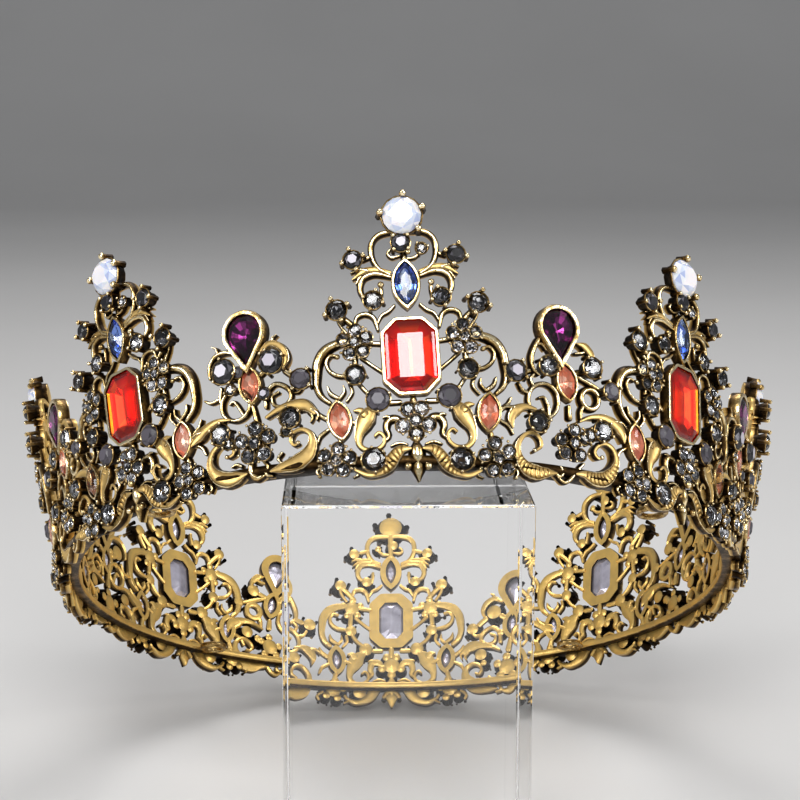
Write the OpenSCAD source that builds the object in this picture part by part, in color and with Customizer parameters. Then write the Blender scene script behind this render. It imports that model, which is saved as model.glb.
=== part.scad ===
// Baroque tiara crown, a full round one, leaning on a clear acrylic block.
// Millimetres. +Z is up and the crown's front faces -Y. The origin is the middle of the whole
// object's footprint, on the surface that it stands on.

/* [Crown] */
// Radius of the wall's inner face at the rim
rim_r = 67; // [66:0.5:69]
// How far the wall leans outwards
flare = 9.8; // [8:0.2:11]
// Thickness of the cast openwork wall
wall_t = 1.8; // [1.6:0.1:2.2]
// Height of the smooth rim bar
bar_h = 2; // [1.6:0.1:2.4]
// Width of the rim bar, from the wall's outer face inwards
bar_w = 3.8; // [3:0.1:4.2]
// Half of the angle that a large panel takes
large_half = 14.5; // [14.3:0.1:14.7]

/* [Pose] */
// Lean of the crown, front up, as it rests on the block
tilt = 34.5; // [34:0.1:35]

/* [Block] */
// Width of the acrylic block
block_w = 42.8; // [42:0.1:45]
// Depth of the acrylic block
block_d = 40; // [36:0.5:46]
// How far the block's front face stands in front of the crown's centre
block_front = 68.4; // [66:0.1:72]

/* [Stones] */
// Width of the red stones
red_w = 9.8; // [9.2:0.1:9.8]
// Height of the red stones
red_h = 13.9; // [13:0.1:13.9]
// Diameter of the opal stones
opal_d = 7; // [6.6:0.1:7]
// Width of the blue stones
blue_w = 4.1; // [3.8:0.1:4.1]
// Height of the blue stones
blue_h = 8.1; // [7.6:0.1:8.1]
// Width of the purple pear stones
pear_w = 6.7; // [6.2:0.1:6.7]
// Height of the purple pear stones
pear_h = 9.6; // [9:0.1:9.6]

/* [Hidden] */
$fn = 32;
units = 8;
step_az = 360 / units;
pear_half = step_az / 2 - large_half;
mid_r = rim_r + wall_t / 2;
bar_r = rim_r + wall_t - bar_w;
inner = -wall_t / 2;
// Clearance under and round a stone
gap = 0.12;
// What a bezel adds to its stone's width, and to the height of a pointed stone
bezel_w = 1.2;
bezel_h = 1.4;
// What a pocket adds to its stone's width, and to the height of a pointed stone
pocket_w = 2 * gap;
pocket_h = 3 * gap;
// Ledge that the larger stones rest on, and its depth at the tip of a drop
ledge = 1.2;
tip_ledge = 1.7;
// Part of a pointed stone's width and height that its back window opens
window = 0.55;
// Flat strips that a panel's wall and its stretch of the rim bar are made of
large_strips = 4;
pear_strips = 2;
large_bar_strips = 8;
pear_bar_strips = 4;
// Reach of the openwork pattern to each side of the wall, before it is trimmed to the wall
reach = 6;
// Lowest and highest edge of the wall, up its slope
wall_low = -6;
wall_high = 50;
// Top of the cups that hold the small stones, out from the wall's middle
cup_top = 2.1;
// How far the crown's back reaches from its centre
crown_back = 91.29;
// The whole object's footprint is centred on the origin by this shift of the crown
crown_y = (block_front - crown_back) / 2;
// Back of the cups and bezels, clear of the wall's faces
cup_back = -0.4;
// Overlap of neighbouring wall strips
strip_lap = 0.3;
// Lowest place of the crown's back: how far out from the wall's middle, and how far below the rim
low_out = 0.65;
low_drop = 4.25;
// Lowest place of the crown over the block's sides, in the same terms
rest_out = 1.2;
rest_drop = 4.65;
// Clearance of the crown over the table and over the block
seat_gap = 0.3;
// Cut of the block's upright edges
block_edge = 0.6;
// Height of the crown's centre, at the rim, above the table
lift = (mid_r + low_out) * sin(tilt) + low_drop * cos(tilt) + seat_gap;
rest_y = sqrt(pow(mid_r + rest_out, 2) - pow(block_w / 2, 2));
block_h = lift + rest_y * sin(tilt) - rest_drop * cos(tilt) - seat_gap;

// Bezels: height of the seat, the top of the metal, and the place up the wall
red_v = 18.2;
red_seat = 1;
red_top = 3.2;
red_cut = 2.5;
blue_v = 31.3;
blue_seat = 0.8;
blue_top = 2.7;
opal_v = 43.6;
opal_seat = 0.9;
opal_top = 2;
opal_h = 2.7;
prong_r = 0.65;
prong_top = 2.9;
pear_v = 18.5;
pear_seat = 0.9;
pear_top = 2.9;
orange_w = 3.5;
orange_h = 6.4;
orange_seat = 0.5;
orange_top = 2;
orange_girdle = 1.3;
orange_height = 1.8;
orange_table = 0.65;
// Orange stones: across and up on the large panels, and up on the pear panels
orange_u = 13.2;
orange_v = 7.7;
orange_pear_v = 14.7;

// Scrolls of half a large panel, mirrored for the other half.
// Columns: across, up, radius, first angle, last angle, width.
large_scrolls = [
    [2.1, 37.4, 3.9, -105, 100, 1.3],
    [7.6, 33.6, 1.7, -60, 150, 1],
    [5.2, 29.6, 3, -130, 160, 1.3],
    [8.2, 24.6, 3.2, 30, 170, 1.3],
    [12.6, 17.2, 4.7, -35, 110, 1.7],
    [9.6, 15.6, 3.7, 95, 302, 1.2],
    [6.8, 5.6, 3, 60, 330, 1.5],
];

// Scrolls of half a pear panel, with the same columns
pear_scrolls = [[5.6, 21.4, 2.2, -30, 200, 1.1], [4.9, 1.6, 3.6, -165, 10, 2.2]];

// Full rings of half a panel. Columns: across, up, radius, width.
large_rings = [[14.6, 18.3, 1.5, 0.9]];
pear_rings = [[4.6, 12.4, 2.2, 1.1]];

// Knobs, leaf tips and solder links, as thick as the wall. Columns: across, up, radius.
large_knobs = [
    [6.2, 21, 1.3],
    [10.6, 18, 1.2],
    [12.6, 11.9, 1.3],
    [8.4, 4.6, 1.3],
    [13.4, 3.4, 1.2],
    [2, -1.3, 1],
    [4.9, -1.7, 1.9],
    [9.9, -1.4, 1.8],
];
pear_knobs = [
    [2.3, 18.4, 1.2],
    [5, 8.9, 1.3],
    [4.4, 5.8, 1.3],
    [7.6, 4.2, 1.4],
];
// Links on the panel's middle line. Columns: up, radius.
large_links = [[26.2, 1.3], [39.6, 1.8], [10, 1.3], [2.2, 1.2]];
pear_links = [[10, 1.4], [0.8, 1.2]];
// Where neighbouring panels are soldered. Columns: up, radius.
edge_links = [[8.2, 2.2]];

// Cups for round stones. Columns: across, up, radius of the stone.
large_black = [[8.7, 37.2, 1.8]];
large_smoky = [
    [4.4, 28.9, 1.3],
    [12.6, 26.8, 1.7],
    [9.6, 15.6, 1.7],
    [6, 11.2, 1.6],
    [7.4, -0.4, 2],
];
pear_black = [[5, 18.4, 2.2]];
pear_smoky = [[7.75, 15.2, 1.5], [6.4, 7, 1.8]];
cup_wall = 0.35;
// Height of a small round stone, as a part of its radius
small_height = 0.75;
top_black_v = 38.9;
top_black_r = 1.6;

// Flower pads: across, up, radius. The middle ones stand on the panel's middle line.
large_flowers = [[9.7, 21.6, 3.3], [13.4, -0.3, 3.2]];
large_flower_mid = [0, 6, 3.6];
pear_flower_mid = [0, 5, 4];
// The pendant bud under the rim, on the panel's middle line
pendant_v = -1.8;
pendant_w = 2.3;
pendant_h = 4.6;
pendant_top = 1.4;
// Points along each side of a pointed oval, along a drop's round end, and along a flower's petal
points = 5;
drop_points = 16;
petals = 5;
petal_points = 4;

// Hair loops: flat rings soldered inside the rim bar
loop_az = [-46, 48, 138.5, -138.5];
loop_r_out = 3;
loop_r_in = 2;
loop_t = 1.1;
loop_foot = 1.2;

function large_az(i) = (i - 1) * step_az;
function pear_az(i) = (i - 0.5) * step_az;

// Outline of a rectangle with its corners cut
function cut_rectangle(w, h, cut) = [
    for (q = [[1, 1], [-1, 1], [-1, -1], [1, -1]])
        for (k = q[0] * q[1] > 0 ? [0, 1] : [1, 0])
            [q[0] * (w / 2 - cut * k), q[1] * (h / 2 - cut * (1 - k))]
];

// Outline of a pointed oval
function marquise_r(w, h) = (w * w + h * h) / (4 * w);
function marquise(w, h, n) =
    let (r = marquise_r(w, h), a = asin(h / 2 / r))
    [for (s = [1, -1]) for (i = [0:n - 1])
        let (t = -a + 2 * a * i / n)
        [s * (r * cos(t) - r + w / 2), s * r * sin(t)]];

// Outline of a drop, point down, with its point at the origin
function drop(w, h, n) =
    let (r = w / 2, c = h - r, b = acos(r / c))
    concat([[0, 0]], [for (i = [0:n])
        let (t = b - 90 + (360 - 2 * b) * i / n)
        [r * cos(t), c + r * sin(t)]]);

// Outline of a flower with round petals
function flower(r) = [
    for (i = [0:petals * petal_points - 1])
        let (a = 90 + i * 360 / (petals * petal_points))
        (r * (0.9 + 0.1 * cos((a - 90) * petals))) * [cos(a), sin(a)]
];

// Puts the crown, leaning back, on the block and the table
module seated() {
    translate([0, crown_y, lift]) rotate([-tilt, 0, 0]) children();
}

// A frame on the wall's middle at the rim: X across, Y up the slope, Z outwards
module on_wall(az) {
    rotate([0, 0, az]) translate([0, -mid_r, 0]) rotate([90 + flare, 0, 0]) children();
}

module both_sides() {
    children();
    mirror([1, 0, 0]) children();
}

// Distance from the crown's axis of the wall's middle, v up the slope
function wall_radius(v) = mid_r + v * sin(flare);

// A wedge about the crown's axis that trims a panel to its angle
module sector(az, half) {
    far = 2 * rim_r;
    rotate([0, 0, az]) translate([0, 0, -wall_high]) linear_extrude(2 * wall_high)
        polygon([[0, 0], [-far * sin(half), -far * cos(half)], [far * sin(half), -far * cos(half)]]);
}

// The plain wall over one panel's angle, as narrow flat strips that overlap at their sides
module wall(az, half, strips) {
    strip = 2 * half / strips;
    low = wall_radius(wall_low) * tan(strip / 2) + strip_lap;
    high = wall_radius(wall_high) * tan(strip / 2) + strip_lap;
    for (k = [0.5:strips]) on_wall(az - half + k * strip) translate([0, 0, inner])
        linear_extrude(wall_t)
            polygon([[-low, wall_low], [low, wall_low], [high, wall_high], [-high, wall_high]]);
}

function arc_points(r, half, steps) = [
    for (k = [0:steps]) let (a = half * (2 * k / steps - 1)) [r * sin(a), -r * cos(a)]
];

// The smooth bar along the rim over one panel's angle
module rim_bar(az, half, strips) {
    front = arc_points(rim_r + wall_t, half, strips);
    back = arc_points(bar_r, half, strips);
    rotate([0, 0, az]) translate([0, 0, -bar_h / 2]) linear_extrude(bar_h)
        polygon(concat(front, [for (k = [len(back) - 1:-1:0]) back[k]]));
}

module scroll(s) {
    translate([s[0], s[1], -reach]) rotate([0, 0, s[3]]) rotate_extrude(angle = s[4] - s[3])
        translate([s[2] - s[5] / 2, 0]) square([s[5], 2 * reach]);
}

module ring(s) {
    translate([s[0], s[1], -reach]) difference() {
        cylinder(r = s[2] + s[3] / 2, h = 2 * reach);
        translate([0, 0, -1]) cylinder(r = s[2] - s[3] / 2, h = 2 * reach + 2);
    }
}

module knob(u, v, r) {
    translate([u, v, -reach]) cylinder(r = r, h = 2 * reach);
}

// Openwork of one panel, before it is trimmed to the wall
module pattern(scrolls, rings, knobs, links, half) {
    both_sides() {
        for (s = scrolls) scroll(s);
        for (s = rings) ring(s);
        for (s = knobs) knob(s[0], s[1], s[2]);
        for (s = edge_links) knob(wall_radius(s[0]) * sin(half), s[0], s[1]);
    }
    for (s = links) knob(0, s[0], s[1]);
}

// Azimuth of a place that lies u across from the panel's middle
function az_at(u, v) = asin(u / wall_radius(v));

module cup(r) {
    translate([0, 0, cup_back]) cylinder(r = r + cup_wall, h = cup_top - cup_back);
}

module flower_pad(r) {
    translate([0, 0, cup_back]) linear_extrude(cup_top - cup_back) polygon(flower(r));
}

module cups(az, places) {
    for (s = places) for (side = [1, -1])
        on_wall(az + side * az_at(s[0], s[1])) translate([0, s[1], 0]) cup(s[2]);
}

module flowers(az, places) {
    for (s = places) for (side = [1, -1])
        on_wall(az + side * az_at(s[0], s[1])) translate([0, s[1], 0]) flower_pad(s[2]);
}

module slab(outline, low, high) {
    translate([0, 0, low]) linear_extrude(high - low) polygon(outline);
}

module pointed_bezel(w, h, top) {
    slab(marquise(w + bezel_w, h + bezel_h, points), cup_back, top);
}

// Pocket of a pointed stone, and the window behind it
module pointed_pocket(w, h, seat, top) {
    slab(marquise(w + pocket_w, h + pocket_h, points), seat, top + 1);
    slab(marquise(w * window, h * window, points), inner - 1, seat + 1);
}

module large_metal(az) {
    intersection() {
        sector(az, large_half);
        wall(az, large_half, large_strips);
        on_wall(az) pattern(large_scrolls, large_rings, large_knobs, large_links, large_half);
    }
    rim_bar(az, large_half, large_bar_strips);
    cups(az, large_black);
    cups(az, large_smoky);
    flowers(az, large_flowers);
    on_wall(az) {
        translate([0, red_v, 0])
            slab(cut_rectangle(red_w + bezel_w, red_h + bezel_w, red_cut), cup_back, red_top);
        translate([0, blue_v, 0]) pointed_bezel(blue_w, blue_h, blue_top);
        translate([0, opal_v, cup_back]) cylinder(d = opal_d + bezel_w, h = opal_top - cup_back);
        translate([0, top_black_v, 0]) cup(top_black_r);
        translate([large_flower_mid[0], large_flower_mid[1], 0]) flower_pad(large_flower_mid[2]);
        translate([0, pendant_v, 0]) slab(marquise(pendant_w, pendant_h, points), cup_back, pendant_top);
        opal_prongs();
    }
    for (side = [1, -1]) on_wall(az + side * az_at(orange_u, orange_v))
        translate([0, orange_v, 0]) pointed_bezel(orange_w, orange_h, orange_top);
}

// Four posts with blunt tips that hold an opal
module opal_prongs() {
    for (a = [45:90:315]) translate([0, opal_v, 0]) rotate([0, 0, a])
        translate([opal_d / 2 + prong_r + gap, 0, 0]) {
            translate([0, 0, cup_back]) cylinder(r = prong_r, h = prong_top - cup_back);
            translate([0, 0, prong_top]) cylinder(r1 = prong_r, r2 = prong_r / 2, h = prong_r);
        }
}

module large_pockets(az) {
    on_wall(az) {
        translate([0, red_v, 0]) {
            slab(cut_rectangle(red_w + pocket_w, red_h + pocket_w, red_cut), red_seat, red_top + 1);
            slab(
                cut_rectangle(red_w - 2 * ledge, red_h - 2 * ledge, red_cut - ledge / 2),
                inner - 1, red_seat + 1
            );
        }
        translate([0, blue_v, 0]) pointed_pocket(blue_w, blue_h, blue_seat, blue_top);
        translate([0, opal_v, opal_seat]) cylinder(d = opal_d + pocket_w, h = opal_top);
        translate([0, opal_v, inner - 1]) cylinder(d = opal_d - 2 * ledge, h = opal_top - inner);
    }
    for (side = [1, -1]) on_wall(az + side * az_at(orange_u, orange_v))
        translate([0, orange_v, 0]) pointed_pocket(orange_w, orange_h, orange_seat, orange_top);
}

module pear_metal(az) {
    intersection() {
        sector(az, pear_half);
        wall(az, pear_half, pear_strips);
        on_wall(az) pattern(pear_scrolls, pear_rings, pear_knobs, pear_links, pear_half);
    }
    rim_bar(az, pear_half, pear_bar_strips);
    cups(az, pear_black);
    cups(az, pear_smoky);
    on_wall(az) {
        translate([0, pear_v - bezel_h / 2, 0])
            slab(drop(pear_w + bezel_w, pear_h + bezel_h, drop_points), cup_back, pear_top);
        translate([0, orange_pear_v, 0]) pointed_bezel(orange_w, orange_h, orange_top);
        translate([pear_flower_mid[0], pear_flower_mid[1], 0]) flower_pad(pear_flower_mid[2]);
    }
}

module pear_pockets(az) {
    on_wall(az) {
        translate([0, pear_v - pocket_h / 2, 0])
            slab(drop(pear_w + pocket_w, pear_h + pocket_h, drop_points), pear_seat, pear_top + 1);
        translate([0, pear_v + tip_ledge, 0])
            slab(
                drop(pear_w - 2 * ledge, pear_h - ledge - tip_ledge, drop_points),
                inner - 1, pear_seat + 1
            );
        translate([0, orange_pear_v, 0]) pointed_pocket(orange_w, orange_h, orange_seat, orange_top);
    }
}

module large_panel(i) {
    color("darkgoldenrod") seated() difference() {
        large_metal(large_az(i));
        large_pockets(large_az(i));
    }
}

module pear_panel(i) {
    color("goldenrod") seated() difference() {
        pear_metal(pear_az(i));
        pear_pockets(pear_az(i));
    }
}

// A cut stone: a pavilion under the girdle and a crown over it, from one outline
module cut_stone(outline, centre = [0, 0, 0], below, girdle, above, table) {
    face = 0.1;
    culet = 0.75;
    hull() {
        translate(centre) linear_extrude(face) scale(culet) translate(-centre) polygon(outline);
        translate([0, 0, below]) linear_extrude(girdle) polygon(outline);
        translate(centre + [0, 0, below + girdle + above - face]) linear_extrude(face)
            scale(table) translate(-centre) polygon(outline);
    }
}

module red_stone(i) {
    color("red") seated() on_wall(large_az(i)) translate([0, red_v, red_seat + gap])
        cut_stone(
            cut_rectangle(red_w, red_h, red_cut),
            below = 1.2, girdle = 0.8, above = 1.3, table = 0.68
        );
}

module blue_stone(i) {
    color("royalblue") seated() on_wall(large_az(i)) translate([0, blue_v, blue_seat + gap])
        cut_stone(marquise(blue_w, blue_h, points), below = 0.9, girdle = 0.6, above = 0.9, table = 0.6);
}

module pear_stone(i) {
    centre = [0, pear_h * 0.6, 0];
    color("indigo") seated() on_wall(pear_az(i)) translate([0, pear_v, pear_seat + gap])
        cut_stone(
            drop(pear_w, pear_h, drop_points), centre,
            below = 1, girdle = 0.6, above = 1.1, table = 0.62
        );
}

// A round stone as one turned profile: pavilion, girdle and crown
module round_stone(r, height) {
    rotate_extrude() polygon([
        [0, 0], [r * 0.75, 0], [r, height * 0.4], [r, height * 0.55], [r * 0.6, height], [0, height],
    ]);
}

module opal_stone(i) {
    color("aliceblue") seated() on_wall(large_az(i)) translate([0, opal_v, opal_seat + gap])
        round_stone(opal_d / 2, opal_h);
}

// A small step-cut stone: its girdle and a smaller table on it
module orange_stone() {
    translate([0, 0, orange_seat + gap]) {
        slab(marquise(orange_w, orange_h, points), 0, orange_girdle);
        slab(marquise(orange_w * orange_table, orange_h * orange_table, points), 0, orange_height);
    }
}

module orange_stones() {
    color("coral") seated() for (i = [1:units]) {
        for (side = [1, -1]) on_wall(large_az(i) + side * az_at(orange_u, orange_v))
            translate([0, orange_v, 0]) orange_stone();
        on_wall(pear_az(i)) translate([0, orange_pear_v, 0]) orange_stone();
    }
}

module round_stones(az, places) {
    for (s = places) for (side = [1, -1])
        on_wall(az + side * az_at(s[0], s[1])) translate([0, s[1], cup_top + gap / 2])
            round_stone(s[2], s[2] * small_height);
}

module black_stones() {
    color("dimgray") seated() for (i = [1:units]) {
        round_stones(large_az(i), large_black);
        round_stones(pear_az(i), pear_black);
    }
}

module smoky_stones() {
    color("slategray") seated() for (i = [1:units]) {
        round_stones(large_az(i), large_smoky);
        round_stones(pear_az(i), pear_smoky);
    }
}

module hair_loop(i) {
    centre_r = bar_r - gap / 2 - loop_foot / 2 - loop_r_out;
    color("peru") seated() rotate([0, 0, loop_az[i - 1]]) translate([0, 0, -loop_t / 2]) difference() {
        union() {
            translate([0, -centre_r, 0]) cylinder(r = loop_r_out, h = loop_t);
            translate([-loop_foot / 2, gap - bar_r, 0]) cube([loop_foot, loop_foot, loop_t]);
        }
        translate([0, -centre_r, -1]) cylinder(r = loop_r_in, h = loop_t + 2);
    }
}

module acrylic_block() {
    color("lightcyan", 0.4) translate([0, crown_y - block_front + block_d / 2, 0])
        linear_extrude(block_h) polygon(cut_rectangle(block_w, block_d, block_edge));
}

for (i = [1:units]) {
    large_panel(i);
    pear_panel(i);
    red_stone(i);
    blue_stone(i);
    opal_stone(i);
    pear_stone(i);
}
for (i = [1:len(loop_az)]) {
    hair_loop(i);
}
orange_stones();
black_stones();
smoky_stones();
acrylic_block();
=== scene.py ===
"""Baroque tiara crown of antique gold openwork with cut stones, leaning on a clear acrylic block."""

import math
from dataclasses import dataclass

import bpy
import numpy as np
from mathutils import Matrix, Vector


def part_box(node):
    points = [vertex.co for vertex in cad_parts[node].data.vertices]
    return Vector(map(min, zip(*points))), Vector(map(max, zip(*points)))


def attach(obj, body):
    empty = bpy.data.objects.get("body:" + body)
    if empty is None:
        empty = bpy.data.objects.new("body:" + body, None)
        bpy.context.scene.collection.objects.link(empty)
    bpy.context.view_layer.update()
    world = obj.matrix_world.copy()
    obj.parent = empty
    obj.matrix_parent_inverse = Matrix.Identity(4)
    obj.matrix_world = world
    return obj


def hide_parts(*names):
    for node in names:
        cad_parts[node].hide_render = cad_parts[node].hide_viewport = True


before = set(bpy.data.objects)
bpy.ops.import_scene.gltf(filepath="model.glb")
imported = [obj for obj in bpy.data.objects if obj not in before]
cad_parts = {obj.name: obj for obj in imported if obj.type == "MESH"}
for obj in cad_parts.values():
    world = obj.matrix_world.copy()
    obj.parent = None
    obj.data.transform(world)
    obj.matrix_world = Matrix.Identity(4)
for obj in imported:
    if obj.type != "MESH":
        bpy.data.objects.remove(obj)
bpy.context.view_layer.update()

# Driving dimensions of the crown: lengths in millimetres, and the widths of its units in degrees
MM = 0.001
UNITS = 8
STEP = 360 / UNITS
LARGE_HALF = 14.5
PEAR_HALF = STEP / 2 - LARGE_HALF
RIM_R = 67.0
WALL = 1.8
MID_R = RIM_R + WALL / 2
# How far the flared wall goes out and up on each millimetre of its slope
FLARE = math.radians(9.8)
FLARE_OUT, FLARE_UP = math.sin(FLARE), math.cos(FLARE)
# The crown's lean, its place on the block, and how its lowest point stands over the table: that point's
# distance outside the wall's middle, its depth under the rim's zero height, and its gap to the table
TILT = math.radians(34.5)
CROWN_Y = -11.445
LOW_OUT, LOW_DEPTH, LOW_GAP = 0.65, 4.25, 0.3
LIFT = (MID_R + LOW_OUT) * math.sin(TILT) + LOW_DEPTH * math.cos(TILT) + LOW_GAP
# The hand-bent crown is a little wider on its right: by how much, and at which azimuth most
SWELL = 1.5
SWELL_AT = math.radians(80)
# The level rim bar: its inner radius, its half height, and its middle's height in front and at the back
BAR_R = 65.0
BAR_HALF = 0.8
BAR_FRONT, BAR_REAR = -0.45, 0.8
# Height of the feet of a casting's back, and the small steps that keep overlapping backs apart
BACK, BACK_STEP, BACK_STEPS = -0.75, 0.02, 7
# How far the rounded backs stand inwards, but on a narrow wire only this part of its width
BACK_ROUND, BACK_BULGE = 0.25, 0.3
# Height of the wires and leaves over the wall's middle, as a part of the heights given below
RELIEF = 0.65
# Edges that are sharper than this are shaded as edges
SHARP = math.radians(50)
# Material slots of a casting
FRONT_SLOT, BACK_SLOT = 0, 1
# Where on its slope a unit's rise sets in and is full, its stretch sets in, and its twist is full
RISE_FROM, RISE_FULL, STRETCH_FROM, TWIST_FULL = -2, 4, 18, 40


def seat(points):
    """Crown frame in millimetres to the row frame in metres: the crown leans back on its block."""
    x, y, z = np.moveaxis(np.asarray(points, float), -1, 0)
    c, s = math.cos(TILT), math.sin(TILT)
    return np.stack([x, y * c + z * s + CROWN_Y, z * c - y * s + LIFT], -1) * MM


def on_wall(azimuth, anchor_u, anchor_v, du, dv, out):
    """A place on the wall, across and up its slope, with a rigid offset from there."""
    r = MID_R + anchor_v * FLARE_OUT
    turn = math.radians(azimuth) + anchor_u / r
    s, c = np.sin(turn), np.cos(turn)
    across = np.stack([c, s, 0 * s], -1)
    up = np.stack([FLARE_OUT * s, -FLARE_OUT * c, 0 * s + FLARE_UP], -1)
    outward = np.stack([FLARE_UP * s, -FLARE_UP * c, 0 * s - FLARE_OUT], -1)
    r = r + SWELL * np.maximum(np.cos(turn - SWELL_AT), 0) ** 2
    base = np.stack([r * s, -r * c, anchor_v * FLARE_UP], -1)
    return seat(base + du[:, None] * across + dv[:, None] * up + out[:, None] * outward)


@dataclass
class Bend:
    """How one cast unit sits: its shift, its lean to the left, how much its right side rises, how much
    its upper part is stretched, its size, and how much it is twisted outwards on its right towards its
    top. A patina and shade power below 1 paints the unit paler all over, with thinner patina and less
    painted shade in its recesses, as if more light fell on it."""
    shift: float = 0
    lean: float = 0
    rise: float = 0
    stretch: float = 1
    scale: float = 1
    twist: float = 0
    patina_and_shade: float = 1

    def place(self, azimuth, rows):
        """rows: anchor across and up, offset across and up, and height out."""
        u, v, du, dv, out = rows.T
        u, v = u * self.scale, v * self.scale
        risen = self.rise * u * np.clip((v - RISE_FROM) / (RISE_FULL - RISE_FROM), 0, 1)
        stretched = (self.stretch - 1) * np.maximum(v - STRETCH_FROM, 0)
        out = out + self.twist * u * np.clip(v / TWIST_FULL, 0, 1)
        return on_wall(azimuth, u + self.shift - self.lean * v, v + stretched + risen,
                       du - self.lean * dv, dv + self.rise * du, out)


class Cast:
    """Faces of one casting. A point is (anchor u, anchor v, offset u, offset v, out) and has a tone:
    0 is a dark recess, with dark patina and painted shade, and 1 a bright worn edge with a painted
    highlight. The stones wait here until their unit is placed: kind, across, up, seat height, size and turn."""

    def __init__(self):
        self.rows, self.tones, self.faces, self.slots, self.stones = [], [], [], [], []
        self.count = self.parts = 0

    def grid(self, points, tones, at=None, wrap_rows=False, wrap_cols=False, slots=FRONT_SLOT):
        """Quads over points[row, column]; the outside is on the left of a row seen from above. They are
        offsets from the anchor that at gives, or else anchors themselves."""
        rows, cols = points.shape[:2]
        r, c = np.mgrid[:rows - (not wrap_rows), :cols - (not wrap_cols)].reshape(2, -1)
        r2, c2 = (r + 1) % rows, (c + 1) % cols
        faces = np.stack([r * cols + c, r * cols + c2, r2 * cols + c2, r2 * cols + c], 1)
        self.faces += (faces + self.count).tolist()
        self.slots += np.broadcast_to(slots, cols)[c].tolist()
        self.tones.append(np.broadcast_to(tones, (rows, cols)).ravel())
        flat = points.reshape(-1, 3)
        if at is None:
            self.rows.append(np.column_stack([flat[:, :2], flat * [0, 0, 1]]))
        else:
            self.rows.append(np.column_stack([np.broadcast_to(at, (len(flat), 2)), flat]))
        self.count += len(flat)

    def back(self):
        """Depth of the next part's back, a little off its neighbours'."""
        self.parts += 1
        return BACK + BACK_STEP * (self.parts % BACK_STEPS)

    def extend(self, other, mirrored=False):
        """Adds another casting and its stones, or their mirror image."""
        side = -1 if mirrored else 1
        self.rows += [rows * [side, 1, side, 1, 1] for rows in other.rows]
        self.tones += other.tones
        self.faces += [[i + self.count for i in face[::side]] for face in other.faces]
        self.slots += other.slots
        self.count += other.count
        for kind, u, v, height, size, turn in other.stones:
            if mirrored:
                turn = -turn if kind == "orange" else 180 - turn
            self.stones.append((kind, side * u, v, height, size, turn))


def curve(points, count):
    """A smooth path through the points, as evenly spaced ones."""
    p = np.array(points, float)
    p = np.vstack([2 * p[0] - p[1], p, 2 * p[-1] - p[-2]])
    t = np.linspace(0, 1, 12, endpoint=False)[:, None]
    dense = [b + 0.5 * t * (c - a + t * (2 * a - 5 * b + 4 * c - d + t * (3 * (b - c) + d - a)))
             for a, b, c, d in zip(p, p[1:], p[2:], p[3:])]
    dense = np.vstack(dense + [p[-2]])
    along = np.concatenate([[0], np.cumsum(np.linalg.norm(np.diff(dense, axis=0), axis=1))])
    wanted = np.linspace(0, along[-1], count)
    return np.stack([np.interp(wanted, along, values) for values in dense.T], 1)


def spread(values, count):
    """Values at even steps along a path of count points."""
    values = np.atleast_1d(values)
    return np.interp(np.linspace(0, 1, count), np.linspace(0, 1, len(values)), values)


def unit_vectors(rows):
    """Each row at a length of 1."""
    return rows / np.linalg.norm(rows, axis=1)[:, None]


def section(path, width, top, back, profile, closed):
    """Points of a profile swept along a flat path. The profile's columns: side (-1 to 1), drop below
    the top as a part of the half width, and how far it follows the back (1) or the top (0)."""
    ahead = np.roll(path, -1, 0) - np.roll(path, 1, 0) if closed else np.gradient(path, axis=0)
    left = unit_vectors(ahead) @ [[0, 1], [-1, 0]]
    half = width[:, None] / 2
    side, drop, low = np.array(profile).T
    height = (top[:, None] - half * drop) * (1 - low) + back * low
    flat = path[:, None, :] + (half * side)[:, :, None] * left[:, None, :]
    return np.concatenate([flat, height[:, :, None]], 2)


# Profiles from the left foot over the top to the right foot, and for each point its tone and the slot of
# the strip after it. A casting spreads towards its foot, where its plain inside begins.
# The tones are dark patina and painted shade low on the flanks, and a painted highlight on the worn top and
# on a leaf's edges.
WIRE = [[1.15, 0, 1], [1.3, 0.9, 0.45], [0.95, 0.75, 0], [0.62, 0.25, 0], [0, 0, 0],
        [-0.62, 0.25, 0], [-0.95, 0.75, 0], [-1.3, 0.9, 0.45], [-1.15, 0, 1]]
WIRE_TONES = [0.8, 0.05, 0.3, 0.8, 1, 0.8, 0.3, 0.05, 0.8]
WIRE_SLOTS = [1, 0, 0, 0, 0, 0, 0, 1, 1]
BLADE = [[1.08, 0, 1], [1.14, 0.5, 0.45], [1, 0.22, 0], [0.94, 0.03, 0], [0.86, 0, 0], [0.74, 0.1, 0],
         [0.4, 0.22, 0], [0, 0.25, 0], [-0.4, 0.22, 0], [-0.74, 0.1, 0], [-0.86, 0, 0], [-0.94, 0.03, 0],
         [-1, 0.22, 0], [-1.14, 0.5, 0.45], [-1.08, 0, 1]]
BLADE_TONES = [0.8, 0.05, 0.5, 1, 1, 0.4, 0.6, 0.68, 0.6, 0.4, 1, 1, 0.5, 0.05, 0.8]
BLADE_SLOTS = [1, 0, 0, 0, 0, 1, 1, 1, 1, 0, 0, 0, 0, 1, 1]
# How a swept part ends: distance past its end and width left there, as parts of its half width, and how
# much the top sinks with the width
ROUND_END = [[0.45, 0.88], [0.8, 0.6], [0.98, 0.1]]
END_SINK = 0.7
# A leaf's engraved ribs: their depth, the width of leaf from which they are cut, how far they slant, how
# near they come to the leaf's sides, and how dark they are
RIB_DEPTH, RIB_FROM, RIB_SLANT, RIB_REACH, RIB_DARK = 0.2, 1.4, 0.35, 0.75, 0.85


def round_end(path, width, top):
    """The path with a rounded end past its last point."""
    far, part = np.array(ROUND_END).T
    half = width[-1] / 2
    ahead = path[-1] + unit_vectors(path[-1:] - path[-2]) * half * far[:, None]
    sunk = top[-1] - half * (1 - part) * END_SINK
    return np.vstack([path, ahead]), np.r_[width, width[-1] * part], np.r_[top, sunk]


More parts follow.
